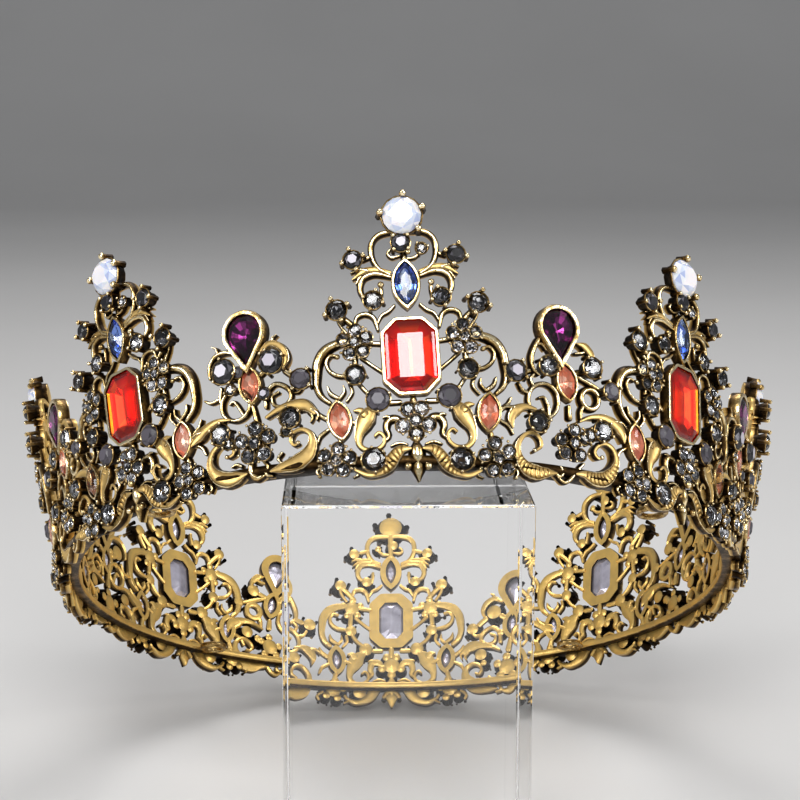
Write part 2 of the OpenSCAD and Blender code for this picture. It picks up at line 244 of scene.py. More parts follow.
def swept(cast, points, width, top, profile, tones, slots, density=3.0, closed=False, ribs=0):
    """A cast wire or leaf along a flat path, with a slightly rounded back."""
    path = np.array(points, float)
    count = max(6, int(np.linalg.norm(np.diff(path, axis=0), axis=1).sum() * density))
    path = curve(np.vstack([path, path[:1]]), count + 1)[:-1] if closed else curve(path, count)
    width, top = spread(width, count), spread(top, count) * RELIEF
    if not closed:
        for _ in range(2):
            path, width, top = [values[::-1] for values in round_end(path, width, top)]
    solid = section(path, width, top, cast.back(), profile, closed)
    tones = np.tile(tones, (len(path), 1))
    if ribs:
        along, across = np.linspace(0, 1, len(path))[:, None], np.array(profile)[:, 0]
        groove = np.maximum(np.sin(2 * np.pi * (along * ribs + across * RIB_SLANT)), 0) ** 3
        groove *= (width > RIB_FROM)[:, None] * (np.abs(across) < RIB_REACH)
        solid[:, :, 2] -= RIB_DEPTH * groove
        # The grooves are darker, with patina and painted shade in them.
        tones *= 1 - RIB_DARK * groove
    cast.grid(solid, tones, wrap_rows=closed, slots=slots)
    rear = solid[:, [-1, -1, 0]]
    rear[:, 1] = (solid[:, -1] + solid[:, 0]) / 2
    rear[:, 1, 2] -= np.minimum(width * BACK_BULGE, BACK_ROUND)
    # The middle of the rounded back is painted brighter than its feet, a painted highlight along its ridge.
    cast.grid(rear, [0.7, 1, 0.7], wrap_rows=closed, slots=BACK_SLOT)


def wire(cast, points, width, top, **more):
    swept(cast, points, width, top, WIRE, WIRE_TONES, WIRE_SLOTS, **more)


def blade(cast, points, width, top, **more):
    swept(cast, points, width, top, BLADE, BLADE_TONES, BLADE_SLOTS, **more)


def turned(cast, at, profile, tones, cols=14, slots=FRONT_SLOT):
    """A solid of revolution about the outward axis. The profile's columns: radius and height. It
    starts at the back, and slots has one slot for each step of it."""
    a = -np.linspace(0, 2 * np.pi, cols, endpoint=False)[:, None]
    r, z = np.array(profile).T
    points = np.stack([r * np.cos(a), r * np.sin(a), z + 0 * a], 2)
    cast.grid(points, tones, at=at, wrap_rows=True, slots=slots)


def ball(cast, at, height, r, rows=5, cols=8):
    """A bead. Its poles are left open by a hair, so that each face has four corners."""
    a = np.linspace(-np.pi / 2, np.pi / 2, rows + 1)
    a[[0, -1]] += [0.02, -0.02]
    profile = np.stack([r * np.cos(a), height + r * np.sin(a)], 1)
    # The tone paints a highlight on the bead's outer side and shade on its inner side.
    turned(cast, at, profile, np.clip(0.55 + 0.5 * np.sin(a), 0.1, 1), cols)


def disc(cast, at, r, top):
    """A round pad from the back up."""
    back = cast.back()
    profile = [[0.01, back - BACK_ROUND], [r * 0.6, back - BACK_ROUND * 0.7], [r, back], [r, back + 0.3],
               [r, top - 0.2], [r - 0.2, top], [0.01, top]]
    # The tones paint highlights on the domed back and the pad's rim, and shade low on its side.
    turned(cast, at, profile, [1, 0.9, 0.6, 0.05, 0.25, 0.6, 0.3], slots=[BACK_SLOT] * 2 + [FRONT_SLOT] * 5)


def prong(cast, at, centre_r, angle, foot, tip, r, stand):
    """A post beside a stone, with a bead at its tip that leans over the stone."""
    way = np.array([math.cos(angle), math.sin(angle)])
    a = np.linspace(0, 2 * np.pi, 6, endpoint=False)
    ring = np.stack([np.cos(a), np.sin(a)], 1) * r
    # Rows of the post and of the bead: how far out, how wide, height and tone. The tones paint shade at the
    # post's foot and a highlight on the bead's top.
    post = [[0.1, 1.05, foot, 0.05], [0.1, 0.8, (foot + tip) / 2, 0.25], [0.05, 0.75, tip, 0.7]]
    bead = [[0, math.cos(t), tip + r * math.sin(t), min(max(0.7 + 0.4 * math.sin(t), 0), 1)]
            for t in np.linspace(-1.2, 1.5, 5)]
    for steps in (post, bead):
        rows = [np.column_stack([way * (centre_r + stand + out) + ring * wide, np.full(6, height)])
                for out, wide, height, _ in steps]
        cast.grid(np.array(rows), np.array(steps)[:, 3:], at=at, wrap_cols=True)


def setting(cast, kind, u, v, r, seat_at, prongs, turn=90, wall=0.3, tip=0.6, bead=0.4, stand=0.2):
    """A cup with prongs and its round stone."""
    back = cast.back()
    lip = seat_at + 0.12
    profile = [[0.01, back - BACK_ROUND], [r * 0.5, back - BACK_ROUND * 0.7], [r * 0.8, back],
               [r * 0.82, back + 0.25], [r * 0.85, 0.3], [r + wall, lip - 0.25], [r + wall, lip],
               [r + wall * 0.55, lip + 0.08], [r - 0.05, lip - 0.15], [r * 0.5, lip - 0.6]]
    # The tones paint highlights on the domed back and the lip, and shade low on the cup and inside it.
    turned(cast, (u, v), profile, [1, 0.9, 0.6, 0.05, 0, 0.15, 0.6, 0.85, 0.2, 0],
           slots=[BACK_SLOT] * 2 + [FRONT_SLOT] * 8)
    for k in range(prongs):
        prong(cast, (u, v), r, math.radians(turn + 360 * k / prongs), 0.2, seat_at + tip, bead, stand)
    cast.stones.append((kind, u, v, seat_at, r, turn))


def flower(cast, u, v, reach, r, angles, height=1.6):
    """A flower of small stones, each in its own cup, with beads between them."""
    disc(cast, (u, v), reach * 0.8, height - 0.9)
    bead_reach, bead_turn = reach + r * 0.75, math.radians(26)
    for n, angle in enumerate(angles):
        a = math.radians(angle)
        setting(cast, "pave", u + reach * math.cos(a), v + reach * math.sin(a), r, height - 0.12 * (n % 2), 0,
                turn=angle, wall=0.22)
        for b in (a - bead_turn, a + bead_turn):
            ball(cast, (u + bead_reach * math.cos(b), v + bead_reach * math.sin(b)), height + 0.25, 0.3, 4, 6)
    setting(cast, "pave", u, v, r * 0.85, height + 0.35, 5, turn=angles[0] + 36, wall=0.15, tip=0.4,
            bead=0.24)


def ring_points(outline, offset):
    """An outline moved outwards, with its corners kept."""
    p = np.array(outline, float)
    sides = p - np.roll(p, 1, 0), np.roll(p, -1, 0) - p
    n1, n2 = [unit_vectors(side) @ [[0, -1], [1, 0]] for side in sides]
    mitre = (n1 + n2) / np.maximum(1 + (n1 * n2).sum(1), 0.5)[:, None]
    return p + mitre * offset


def spun(points, degrees):
    """Flat points turned anticlockwise."""
    a = math.radians(degrees)
    return np.asarray(points) @ np.array([[math.cos(a), math.sin(a)], [-math.sin(a), math.cos(a)]])


def narrowed(outline, by):
    """The outline drawn in towards its middle on all sides."""
    p = np.array(outline, float)
    low, high = p.min(0), p.max(0)
    middle, half = (low + high) / 2, (high - low) / 2
    return middle + (p - middle) * (half - by) / half


def bezel(cast, at, outline, top, seat_at, spin, wall=0.55, ledge=0.8, lip=-0.08, shine=0.88):
    """A smooth collar round a stone, open behind it. The outline is the stone's, and the lip reaches
    over its edge."""
    back = cast.back()
    # Offset from the outline, height and tone, from the back of the ledge round to the back of the wall. The
    # tones paint shade on the ledge, down the inside of the wall and low on its outside, and a highlight
    # along the rim.
    steps = [[-ledge, back, 0.9], [-ledge, seat_at, 0.1], [0.03, seat_at, 0.1], [0.03, top - 0.25, 0.3],
             [-lip, top - 0.05, shine], [wall * 0.45, top, shine], [wall * 0.85, top - 0.06, shine],
             [wall, top - 0.3, 0.8], [wall + 0.04, top * 0.4, 0.55], [wall + 0.02, back + 0.3, 0.1],
             [wall, back, 0.9]]
    rings = []
    for offset, height, _ in steps:
        ring = narrowed(outline, ledge) if offset == -ledge else ring_points(outline, offset)
        rings.append(np.column_stack([spun(ring, spin), np.full(len(outline), height)]))
    cast.grid(np.stack(rings, 1), [step[2] for step in steps], at=at, wrap_rows=True, wrap_cols=True,
              slots=[FRONT_SLOT] * (len(steps) - 1) + [BACK_SLOT])


def cut_rectangle(w, h, cut):
    """Corners of a rectangle with its corners cut, anticlockwise from the right side."""
    x, y = w / 2, h / 2
    half = [[x, cut - y], [x, y - cut], [x - cut, y], [cut - x, y]]
    return half + [[-a, -b] for a, b in half]


def soft_corners(outline, r):
    """The outline with each corner as three points."""
    p = np.array(outline, float)
    a, b = unit_vectors(np.roll(p, 1, 0) - p), unit_vectors(np.roll(p, -1, 0) - p)
    return np.stack([p + a * r, p + (a + b) * r * 0.25, p + b * r], 1).reshape(-1, 2)


def marquise(w, h, count):
    """Outline of a pointed oval, anticlockwise from its lower tip."""
    r = (w * w + h * h) / (4 * w)
    a = math.asin(h / 2 / r)
    t = -a + 2 * a * np.arange(count) / count
    right = np.stack([r * np.cos(t) - r + w / 2, r * np.sin(t)], 1)
    return np.vstack([right, -right])


def drop(w, h, count):
    """Outline of a drop with its tip down at the origin, anticlockwise from the tip."""
    r = w / 2
    c = h - r
    b = math.acos(r / c)
    t = b - math.pi / 2 + (2 * math.pi - 2 * b) * np.arange(count + 1) / count
    arc = np.stack([r * np.cos(t), c + r * np.sin(t)], 1)
    rising = np.outer([0.33, 0.66], arc[0])
    return np.vstack([[[0, 0]], rising, arc, rising[::-1] * [-1, 1]])


# Sizes of the large stones
RED_W, RED_H, RED_CUT, RED_V = 9.5, 13.4, 2.4, 18.2
BLUE_W, BLUE_H, BLUE_V = 4.1, 8.1, 31.3
OPAL_R, OPAL_V = 3.5, 43.6
PEAR_W, PEAR_H = 6.7, 9.6
ORANGE_W, ORANGE_H = 3.5, 6.4
# Height of the bezels' rims, of the ledges in them, and of the zero height of their stones
BEZEL_TOP = {"red": 1.5, "blue": 1.5, "pear": 1.6, "orange": 1.3}
BEZEL_SEAT, RED_SEAT = 0.1, -0.35
STONE_FOOT = {"red": -1.5, "blue": -1.4, "pear": -1.55, "orange": -0.8}


def set_stone(cast, kind, u, v, outline, seat_at=BEZEL_SEAT, spin=0, **more):
    """A bezel and its stone, which has the same outline."""
    bezel(cast, (u, v), outline, BEZEL_TOP[kind], seat_at, spin, **more)
    cast.stones.append((kind, u, v, STONE_FOOT[kind], 1, spin))


def pear(cast, u, v, spin):
    set_stone(cast, "pear", u, v, drop(PEAR_W, PEAR_H, 20), spin=spin, wall=0.9, ledge=0.9)


def orange(cast, u, v, spin):
    set_stone(cast, "orange", u, v, marquise(ORANGE_W, ORANGE_H, 10), spin=spin, wall=0.5, ledge=0.6)


def rim_bar(azimuth, half):
    """The smooth bar along the rim over half an angle to each side. It stays level on the leaning wall."""
    cast = Cast()
    turn = np.linspace(-1, 1, 13) * math.radians(half)
    inner, outer, edge = BAR_R - MID_R, WALL / 2, 0.25
    # Its section from the inner end of its underside round over its front and top: out, up and tone. The
    # tones paint shade on the underside and front, and light on the top and the inner edge.
    profile = [[inner + edge, -1, 0.2], [outer - edge, -1, 0.15], [outer, -0.7, 0.2], [outer, 0.7, 0.35],
               [outer - edge, 1, 0.4], [inner + edge, 1, 0.75], [inner, 0.7, 0.85], [inner, -0.7, 0.75]]
    out, up, tones = np.array(profile).T
    rear = np.sin((math.radians(azimuth) + turn) / 2)[:, None] ** 2
    height = BAR_FRONT + (BAR_REAR - BAR_FRONT) * rear + BAR_HALF * up
    v = out * FLARE_OUT + height * FLARE_UP
    w = out * FLARE_UP - height * FLARE_OUT
    anchor = np.stack([turn[:, None] * MID_R + 0 * v, 0 * v], 2).reshape(-1, 2)
    cast.grid(np.stack([0 * v, v, w], 2), tones, at=anchor, wrap_cols=True,
              slots=[FRONT_SLOT] * 5 + [BACK_SLOT] * 2 + [FRONT_SLOT])
    return cast


def large_half():
    """Right half of a large unit's casting."""
    cast = Cast()
    # Heart arch, its leaf, and the scroll beside the blue stone
    wire(cast, [(0.6, 41), (2.6, 41.1), (4.45, 40.6), (5.65, 39.1), (5.65, 36.6), (4.6, 34.5), (2.7, 33.2)],
         [0.7, 0.9, 0.95, 0.95, 0.9, 0.8, 0.6], 1.7)
    blade(cast, [(2.6, 33.6), (5.1, 34.3), (7.2, 34.2), (9.3, 32.9)], [0.5, 1, 1.2, 0.2], 1.6)
    wire(cast, [(6.6, 34.3), (8.2, 34.7), (9.5, 34.2)], [0.7, 0.8, 0.3], 1.6)
    wire(cast, [(7, 34), (8.1, 33.2), (8.7, 32.1)], [0.6, 0.6, 0.25], 1.3)
    wire(cast, [(2.6, 32.7), (5.2, 33.6), (7.3, 33.1), (8.1, 31.4), (7.7, 29.7), (6.8, 28.9)],
         [0.5, 0.95, 1.1, 1.05, 0.9, 0.6], 1.8)
    wire(cast, [(4.7, 28.4), (4.4, 30), (4.4, 31)], 0.6, 1.3)
    ball(cast, (4.4, 31.3), 1.3, 0.62)
    setting(cast, "smoky", 5.9, 28.5, 1.6, 1.7, 4, turn=20)
    wire(cast, [(5.6, 37.1), (7.4, 36.5)], 0.8, 0.9)
    setting(cast, "black", 9, 36.2, 1.6, 1.8, 4, turn=75, bead=0.48, stand=0.4)
    # Arm with its stone, and the small arch over the flower
    wire(cast, [(9, 23.8), (10.4, 25.3), (11.7, 26.5)], [0.8, 0.9, 0.9], 1.3)
    wire(cast, [(10.8, 23.2), (12, 25), (12.5, 26.5)], [0.5, 0.5, 0.6], 0.9)
    setting(cast, "smoky", 12.3, 27.4, 1.75, 1.9, 4, turn=70, tip=0.7, bead=0.48, stand=0.45)
    wire(cast, [(9.4, 24.4), (9, 26), (7.4, 26.5), (6, 25.6), (5.4, 23.4)], [0.5, 0.8, 0.9, 0.8, 0.5], 1.5)
    wire(cast, [(2.3, 27.6), (3.4, 26.6), (4.6, 26), (5.4, 24.6)], [0.5, 0.6, 0.6, 0.4], 1.1)
    flower(cast, 9.5, 21.3, 2.15, 1.08, (95, 160, 232, 300, 20))
    wire(cast, [(5, 21), (7.4, 21.3)], 0.8, 0.8)
    wire(cast, [(5, 15.8), (6.8, 17.2), (8.6, 18.8)], [0.7, 0.6, 0.7], 0.6)
    # Big arch with its curl
    wire(cast, [(11, 21.9), (13.2, 21.6), (15.2, 20.6), (16.4, 18.6), (16.7, 16.3), (16.7, 14.4),
                (16, 12.6), (14.6, 11.2)], [1.1, 1.5, 1.75, 1.7, 1.5, 1.2, 1, 0.7], 2)
    wire(cast, [(11.2, 15.6), (13, 16), (14.4, 17.1), (14.8, 18.6), (14, 19.7), (12.9, 19.5)],
         [0.7, 0.75, 0.7, 0.65, 0.6, 0.55], 1.5)
    ball(cast, (12.7, 19.2), 1.1, 0.5)
    wire(cast, [(9.9, 17), (9.7, 19.6)], 0.9, 0.8)
    setting(cast, "smoky", 9.7, 15.4, 1.7, 1.8, 6, turn=10, tip=0.5, bead=0.26)
    wire(cast, [(9.3, 14.1), (8.2, 12.6), (6.9, 11.6)], [0.7, 0.65, 0.6], 1.2)
    wire(cast, [(10.8, 14), (10.6, 12.6), (11.6, 11.2)], [0.6, 0.55, 0.5], 1.1)
    wire(cast, [(13.2, 12), (14.4, 12.9), (14.8, 14.2)], [0.7, 0.8, 0.25], 1.4)
    wire(cast, [(12.8, 11.8), (11.9, 12.9), (12, 14)], [0.6, 0.6, 0.2], 1.4)
    setting(cast, "grey", 6.1, 10.6, 2, 1.6, 3, turn=35, tip=0.55, bead=0.3)
    wire(cast, [(2.4, 10.2), (4.2, 10.2)], 0.9, 0.7)
    # Comma leaf with a notched top that ends in a thin curl
    blade(cast, [(6, 9.6), (7.2, 9), (8.2, 7.9), (9.1, 6.3), (9.8, 4.7), (9.8, 3), (8.7, 1.9), (7, 1.8),
                 (5.7, 2.7), (5.5, 4.1), (6.3, 4.9), (7, 4.4)],
          [0.5, 2.2, 3.3, 2.9, 1.8, 1.15, 0.95, 0.8, 0.7, 0.65, 0.55, 0.5], 1.7)
    blade(cast, [(8.7, 8.5), (9.4, 9.2), (10.4, 9.2)], [1.6, 1.1, 0.3], 1.6)
    orange(cast, 13, 7.8, -4)
    wire(cast, [(9.6, 6.8), (11, 7.4)], 0.7, 0.9)
    wire(cast, [(15.2, 8.4), (16.6, 9.4), (17.3, 10.6)], [0.8, 0.8, 0.4], 1.2)
    wire(cast, [(15, 6.6), (16.6, 5.6), (17.2, 4.2)], [0.6, 0.8, 0.5], 1)
    # Leaf beside the middle flower, and the ribbed scallop along the lower edge
    wire(cast, [(1.7, 5.4), (3, 7.1), (4.5, 7), (5, 5.5), (4.6, 4.2), (5.4, 3.2)],
         [0.6, 1.2, 1.4, 1.2, 0.9, 0.3], 1.5)
    wire(cast, [(3.9, 7), (4.7, 7.7), (5.5, 7.5)], [0.8, 0.7, 0.2], 1.3)
    blade(cast, [(1.2, 1.6), (2.8, 1.4), (4, 0.2), (5, -1.5), (6.5, -2.6), (8.5, -3), (10.8, -2)],
          [0.6, 2, 2.4, 1.9, 1.2, 0.95, 0.5], 2, ribs=15, density=8)
    wire(cast, [(1.6, 2.4), (3, 2.8), (4.4, 2.3)], [0.4, 0.6, 0.3], 1.4)
    setting(cast, "smoky", 7.5, -0.4, 2, 1.8, 6, turn=25, tip=0.45, bead=0.28)
    flower(cast, 13.8, 0.1, 2.3, 1.12, (100, 172, 244, 316, 28))
    wire(cast, [(13.2, 4.2), (13.7, 2.2)], 0.9, 1)
    wire(cast, [(11, -1.4), (10.2, -2.6), (11.2, -3.2)], [0.6, 0.5, 0.3], 1.2)
    wire(cast, [(16.4, -0.6), (17.6, -1.6), (17.2, -2.6)], [0.6, 0.6, 0.4], 1.2)
    ball(cast, (17, -2.7), 1, 0.4)
    # Side bud of the pendant
    wire(cast, [(0.3, -0.5), (1.2, -0.6), (1.8, -1.5)], [0.6, 0.9, 0.8], 1.5)
    ball(cast, (1.75, -1.6), 1.3, 0.65)
    return cast


def large_unit():
    """A large unit's casting."""
    cast, half = Cast(), large_half()
    cast.extend(half)
    cast.extend(half, mirrored=True)
    # Opal on its post, with round prongs
    setting(cast, "opal", 0, OPAL_V, OPAL_R, 1.7, 0, wall=0.4)
    for angle in (84, 172, 18, 315):
        prong(cast, (0, OPAL_V), OPAL_R, math.radians(angle), 0.2, 2.6, 0.68, stand=0.45)
    wire(cast, [(0, 41.2), (0, 35.4)], [1.2, 0.9], 0.6)
    setting(cast, "black", -0.5, 38.6, 1.6, 1.8, 4, turn=45)
    setting(cast, "smoky", 3.1, 37.6, 0.95, 1.2, 3, turn=10, bead=0.28)
    wire(cast, [(2.9, 37), (1.9, 36.2), (0.6, 36)], [0.5, 0.6, 0.5], 1.4)
    wire(cast, [(-2.2, 38), (-2.9, 37.2), (-2.2, 36.4), (-0.8, 36.6)], [0.4, 0.5, 0.6, 0.4], 1.3)
    ball(cast, (0.7, 36.9), 1.6, 0.5)
    set_stone(cast, "blue", 0, BLUE_V, marquise(BLUE_W, BLUE_H, 12))
    set_stone(cast, "red", 0, RED_V, soft_corners(cut_rectangle(RED_W, RED_H, RED_CUT), 0.35), RED_SEAT,
              wall=0.45, ledge=1.9, lip=0.12, shine=1)
    # Middle flower and the pendant under it
    wire(cast, [(0, 10.6), (0, 8.6)], 1, 0.8)
    flower(cast, 0, 6.4, 2.35, 1.25, (62, 118, 200, 270, 340))
    ball(cast, (0, 3.1), 1.6, 0.75)
    wire(cast, [(0, 2.7), (0, 1.5), (0, 0.2), (0, -0.8)], [1.1, 2.3, 2.5, 1], [1.6, 2.2, 2.2, 1.6])
    wire(cast, [(0, -0.7), (0, -2), (0, -3.2), (0, -3.9)], [1.2, 2.4, 1.4, 0.5], [1.6, 2, 1.6, 1.2])
    return cast


def ring(cast, u, v, r, r_up, width, top):
    """A wire bent to a round ring, or to a taller one."""
    a = np.radians(np.arange(0, 360, 30))
    wire(cast, np.stack([u + r * np.cos(a), v + r_up * np.sin(a)], 1), width, top, closed=True)


def smooth_pear_unit():
    """A pear unit with smooth crescents."""
    cast = Cast()
    pear(cast, -0.2, 18.3, 1.9)
    orange(cast, 0.1, 14.9, 4.6)
    # Black stones under their brackets
    setting(cast, "black", -4.4, 17.9, 2.2, 1.8, 3, turn=100, bead=0.34)
    setting(cast, "black", 4.45, 18.3, 2.2, 1.8, 3, turn=20, bead=0.34)
    wire(cast, [(-2.2, 20.6), (-4.2, 21.6), (-6.4, 21.2), (-7.6, 19.4), (-7.5, 17.4)],
         [0.5, 0.8, 0.9, 0.8, 0.5], 1.9)
    wire(cast, [(-5.8, 21.6), (-6.1, 22.6), (-6.9, 23.1)], [0.6, 0.5, 0.2], 1.7)
    blade(cast, [(2.6, 20.7), (4.4, 21.7), (6.4, 20.6), (7.1, 18.6), (6.4, 16.9)], [0.6, 1.1, 1.2, 1, 0.4], 2)
    wire(cast, [(4.5, 21.8), (4.7, 22.7), (5.4, 23.1)], [0.6, 0.5, 0.2], 1.7)
    ball(cast, (3.4, 20.5), 1.6, 0.45)
    wire(cast, [(-2.2, 16.4), (-3.4, 16.8)], 1, 0.8)
    wire(cast, [(1.8, 16.6), (2.6, 17.2)], 1, 0.8)
    setting(cast, "grey", -1.9, 17.4, 1, 1.3, 0, wall=0.2)
    setting(cast, "pave", -3.4, 14.6, 1, 1.3, 3, wall=0.2, bead=0.26)
    setting(cast, "black", 2.7, 12.9, 1.1, 1.2, 2, turn=120, wall=0.2, bead=0.26)
    setting(cast, "grey", 9.4, 14.5, 1.75, 1.7, 4, turn=50, bead=0.42, stand=0.4)
    wire(cast, [(6.3, 16.8), (7.9, 15.4)], 1, 0.9)
    # Open rings with tails inside them
    ring(cast, -2.95, 11.9, 2.75, 2.75, 0.75, 1.4)
    wire(cast, [(-1.4, 9.6), (-2.1, 10.9), (-3.2, 12.6), (-4, 12.2)], [0.7, 0.6, 0.55, 0.4], 1.3)
    wire(cast, [(-5.6, 12.4), (-6, 13.6), (-5.6, 15.4)], [0.7, 0.7, 0.6], 1.2)
    wire(cast, [(-6, 13.6), (-7.8, 13.2), (-9, 13.8)], [0.6, 0.6, 0.4], 1.2)
    wire(cast, [(2.7, 10.6), (2.9, 13), (4.7, 14.5), (6.8, 13.4), (7.3, 11.7), (5.9, 10.4), (4.2, 10.8),
                (3.9, 12.3), (5.1, 12.9)], [0.7, 0.75, 0.8, 0.8, 0.8, 0.7, 0.65, 0.6, 0.5], 1.5)
    wire(cast, [(7.3, 12.8), (8.5, 12.6), (9.4, 13.4)], [0.6, 0.6, 0.4], 1.1)
    # Leaves over the lower stones, with split tips
    blade(cast, [(2.8, 8.7), (5, 9.8), (7.4, 10.3), (9.7, 10), (11.2, 8.8)], [0.5, 1, 1.5, 2.3, 1.3], 1.8)
    wire(cast, [(10.9, 9.2), (11.9, 8.2), (11.6, 7.2)], [0.8, 0.6, 0.2], 1.7)
    wire(cast, [(10.3, 8.8), (10.9, 7.8), (10.5, 6.9)], [0.8, 0.6, 0.2], 1.7)
    blade(cast, [(-4, 9.4), (-6.2, 9.6), (-8.4, 8.9), (-10.4, 7.6), (-12.2, 6.2)],
          [0.4, 0.9, 1.6, 2.1, 0.3], 1.8)
    wire(cast, [(-10.1, 8.3), (-11.4, 8.1), (-12.2, 7.4)], [0.7, 0.5, 0.2], 1.7)
    setting(cast, "smoky", 7.2, 7.9, 1.8, 1.9, 5, turn=30, bead=0.34)
    setting(cast, "pave", 6.4, 5.7, 0.95, 1.6, 3, wall=0.2, bead=0.26)
    setting(cast, "smoky", -5.5, 6.9, 1.8, 1.9, 5, turn=10, bead=0.34)
    setting(cast, "pave", -4.1, 5, 0.95, 1.6, 3, wall=0.2, bead=0.26)
    wire(cast, [(0.2, 11.2), (0.7, 8.4)], [0.8, 1.1], 1)
    flower(cast, 0.8, 4.3, 2.5, 1.25, (85, 22, 306, 236, 165), height=1.8)
    # Crescents that end in thin curls
    blade(cast, [(-1.4, -0.6), (-3, -0.9), (-5, -1), (-7, -0.1), (-8.2, 1.7), (-8, 3.7), (-6.7, 5.1),
                 (-5, 5.3), (-3.7, 4.5), (-3.6, 3.3), (-4.7, 2.8)],
          [0.4, 2.3, 2.9, 2.7, 1.9, 1.3, 0.95, 0.8, 0.7, 0.65, 0.5], 1.9)
    ball(cast, (-4.8, 2.9), 1.2, 0.45)
    blade(cast, [(3.1, -0.8), (5.3, -0.4), (7.6, 0.1), (9.6, 1.3), (10.6, 3.1), (10.4, 4.9), (9, 5.8),
                 (7.5, 5.4), (6.9, 4.2), (7.4, 3.2), (8.2, 3.4)],
          [0.4, 1.7, 2.5, 3, 2.7, 1.8, 1.05, 0.8, 0.7, 0.6, 0.5], 1.9)
    ball(cast, (8.2, 3.5), 1.2, 0.45)
    wire(cast, [(-2.5, 1), (-3.3, 1.4), (-4.2, 1)], [0.6, 0.6, 0.2], 1.6)
    wire(cast, [(-0.6, 1.4), (-0.7, -0.3), (0.3, -1.5), (1.6, -1.4)], [0.9, 1.3, 1.4, 0.6], 1.7)
    wire(cast, [(1.8, 1.2), (2.5, 0.1), (2, -1.1), (3.2, -1.6)], [0.6, 0.7, 0.7, 0.4], 1.5)
    wire(cast, [(5, 2.2), (4.3, 1.3), (4.9, 0.5)], [0.6, 0.6, 0.4], 1.3)
    return cast


